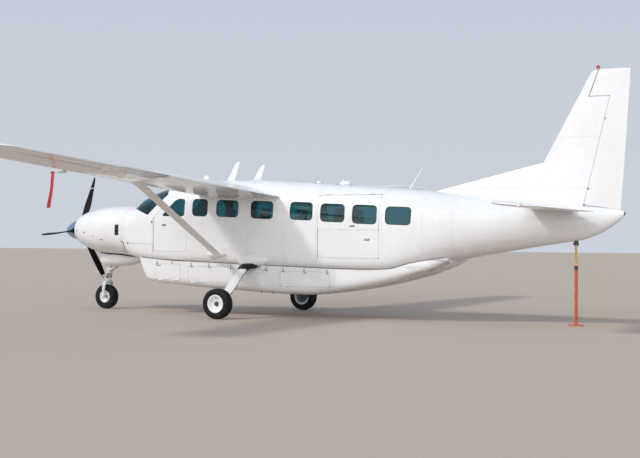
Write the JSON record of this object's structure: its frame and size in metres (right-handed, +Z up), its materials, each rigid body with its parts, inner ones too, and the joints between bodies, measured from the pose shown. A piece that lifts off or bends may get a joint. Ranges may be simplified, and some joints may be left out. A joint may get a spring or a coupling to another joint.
{
  "type": "single-engine turboprop utility aircraft",
  "caption": "High-wing utility aircraft with a nose propeller, braced wing, fixed wheeled gear, belly pod, opening doors and moving control surfaces, parked with a stand under its tail.",
  "frame": {"origin": "on the ground under the middle of the overall length and span", "axes": "+X aft along the fuselage, +Y to starboard, +Z up"},
  "size_m": [12.788, 15.86, 4.7484],
  "materials": {
    "white_paint": "gloss",
    "blue_paint": "metallic",
    "teal_glass": "tinted",
    "black_blade": "satin",
    "tyre_black": "matte",
    "engine_grey": "satin",
    "hot_steel": "brushed",
    "bare_steel": "satin",
    "cabin_grey": "matte",
    "seat_leather": "satin",
    "red_lamp": "gloss",
    "red_cloth": "woven",
    "stand_orange": "painted"
  },
  "bodies": {
    "airframe": {"air_probe": "bare_steel", "beacon_lamp": "red_lamp", "cabin_floor": "white_paint", "cabin_glass_left": "teal_glass", "cabin_glass_right": "teal_glass", "cabin_roof": "white_paint", "cabin_wall_left": "white_paint", "cabin_wall_right": "white_paint", "cargo_pod": "white_paint", "cowling": "white_paint", "crew_seats": "seat_leather", "engine_block": "engine_grey", "exhaust_stack": "hot_steel", "fin": "white_paint", "firewall": "white_paint", "instrument_panel": "cabin_grey", "main_leg_left": "white_paint", "main_leg_right": "white_paint", "nose_gear_fairing": "white_paint", "nose_strut": "bare_steel", "passenger_seats": "seat_leather", "probe_ribbon": "red_cloth", "rear_bulkhead": "cabin_grey", "stabilizer_left": "white_paint", "stabilizer_right": "white_paint", "strut_left": "white_paint", "strut_right": "white_paint", "tail_cone": "white_paint", "tail_stand": "stand_orange", "windshield_left": "teal_glass", "windshield_right": "teal_glass", "wing_left": "white_paint", "wing_right": "white_paint"},
    "propeller": {"spinner": "blue_paint", "propeller_blades": "black_blade"},
    "nose_steering": {"nose_fork": "bare_steel"},
    "nose_wheel": {"nose_wheel": "tyre_black"},
    "main_wheel_left": {"main_wheel_left": "tyre_black"},
    "main_wheel_right": {"main_wheel_right": "tyre_black"},
    "rudder": {"rudder": "white_paint"},
    "elevator": {"elevator_left": "white_paint", "elevator_right": "white_paint"},
    "aileron_left": {"aileron_left": "white_paint"},
    "aileron_right": {"aileron_right": "white_paint"},
    "flap_left": {"flap_left": "white_paint"},
    "flap_right": {"flap_right": "white_paint"},
    "crew_door_left": {"crew_door_left": "white_paint", "crew_glass_left": "teal_glass"},
    "crew_door_right": {"crew_door_right": "white_paint", "crew_glass_right": "teal_glass"},
    "cargo_door_upper": {"cargo_door_upper": "white_paint", "cargo_glass": "teal_glass"},
    "cargo_door_lower": {"cargo_door_lower": "white_paint"},
    "stair_door_upper": {"stair_door_upper": "white_paint", "stair_glass": "teal_glass"},
    "stair_door_lower": {"stair_door_lower": "white_paint"},
    "pod_door_front": {"pod_door_front": "white_paint"},
    "pod_door_middle": {"pod_door_middle": "white_paint"},
    "pod_door_rear": {"pod_door_rear": "white_paint"}
  },
  "joints": [
    {"name": "propeller_spin", "type": "hinge", "parent": "airframe", "child": "propeller", "pos_m": [-6.0096, 0, 1.76], "axis": [0.9984, 0, 0.0558], "continuous": true},
    {"name": "nose_steering", "type": "hinge", "parent": "airframe", "child": "nose_steering", "pos_m": [-5.255, 0, 0.272], "axis": [0.1172, 0, 0.9931], "range_deg": [-56, 56]},
    {"name": "nose_wheel_spin", "type": "hinge", "parent": "nose_steering", "child": "nose_wheel", "pos_m": [-5.255, 0, 0.272], "axis": [0, 1, 0], "continuous": true},
    {"name": "main_wheel_left_spin", "type": "hinge", "parent": "airframe", "child": "main_wheel_left", "pos_m": [-1.21, -1.775, 0.3], "axis": [0, 1, 0], "continuous": true},
    {"name": "main_wheel_right_spin", "type": "hinge", "parent": "airframe", "child": "main_wheel_right", "pos_m": [-1.21, 1.775, 0.3], "axis": [0, 1, 0], "continuous": true},
    {"name": "rudder_hinge", "type": "hinge", "parent": "airframe", "child": "rudder", "pos_m": [5.576, 0, 2.21], "axis": [0.2319, 0, 0.9727], "range_deg": [-25, 25]},
    {"name": "elevator_hinge", "type": "hinge", "parent": "airframe", "child": "elevator", "pos_m": [5.346, 0, 2.1298], "axis": [0, 1, 0], "range_deg": [-25, 20]},
    {"name": "aileron_left_hinge", "type": "hinge", "parent": "airframe", "child": "aileron_left", "pos_m": [-1.05262, -5.62, 2.78701], "axis": [0.0265, 0.9976, -0.0637], "range_deg": [-20, 20]},
    {"name": "aileron_right_hinge", "type": "hinge", "parent": "airframe", "child": "aileron_right", "pos_m": [-1.05262, 5.62, 2.78701], "axis": [-0.0265, 0.9976, 0.0637], "range_deg": [-20, 20]},
    {"name": "flap_left_hinge", "type": "hinge", "parent": "airframe", "child": "flap_left", "pos_m": [-0.97147, -0.98, 2.39412], "axis": [0.0237, 0.9971, -0.0718], "range_deg": [0, 30]},
    {"name": "flap_right_hinge", "type": "hinge", "parent": "airframe", "child": "flap_right", "pos_m": [-0.97147, 0.98, 2.39412], "axis": [-0.0237, 0.9971, 0.0718], "range_deg": [0, 30]},
    {"name": "crew_door_left_hinge", "type": "hinge", "parent": "airframe", "child": "crew_door_left", "pos_m": [-3.44, -0.7924, 1.6], "axis": [0, 0, -1], "range_deg": [0, 80]},
    {"name": "crew_door_right_hinge", "type": "hinge", "parent": "airframe", "child": "crew_door_right", "pos_m": [-3.44, 0.7924, 1.6], "axis": [0, 0, 1], "range_deg": [0, 80]},
    {"name": "cargo_door_upper_hinge", "type": "hinge", "parent": "airframe", "child": "cargo_door_upper", "pos_m": [0.606, -0.70276, 2.44], "axis": [-0.9965, -0.083, 0], "range_deg": [0, 90]},
    {"name": "cargo_door_lower_hinge", "type": "hinge", "parent": "airframe", "child": "cargo_door_lower", "pos_m": [0.49, -0.82366, 1.5], "axis": [0, 0, -1], "range_deg": [0, 95]},
    {"name": "stair_door_upper_hinge", "type": "hinge", "parent": "airframe", "child": "stair_door_upper", "pos_m": [1.246, 0.65389, 2.44], "axis": [0.9953, -0.0969, 0], "range_deg": [0, 90]},
    {"name": "stair_door_lower_hinge", "type": "hinge", "parent": "airframe", "child": "stair_door_lower", "pos_m": [1.246, 0.81991, 1.204], "axis": [-0.9995, 0.0322, 0], "range_deg": [0, 125]},
    {"name": "pod_door_front_hinge", "type": "hinge", "parent": "airframe", "child": "pod_door_front", "pos_m": [-3.354, -0.72763, 0.703], "axis": [0.9999, -0.0117, 0], "range_deg": [0, 90]},
    {"name": "pod_door_middle_hinge", "type": "hinge", "parent": "airframe", "child": "pod_door_middle", "pos_m": [-2.534, -0.72303, 0.663], "axis": [0.9998, -0.0182, 0], "range_deg": [0, 90]},
    {"name": "pod_door_rear_hinge", "type": "hinge", "parent": "airframe", "child": "pod_door_rear", "pos_m": [-0.334, -0.74121, 0.623], "axis": [1, 0.0001, 0], "range_deg": [0, 90]}
  ],
  "couplings": [
    {"joint": "aileron_right_hinge", "follows": "aileron_left_hinge", "ratio": -1},
    {"joint": "flap_right_hinge", "follows": "flap_left_hinge", "ratio": 1}
  ]
}
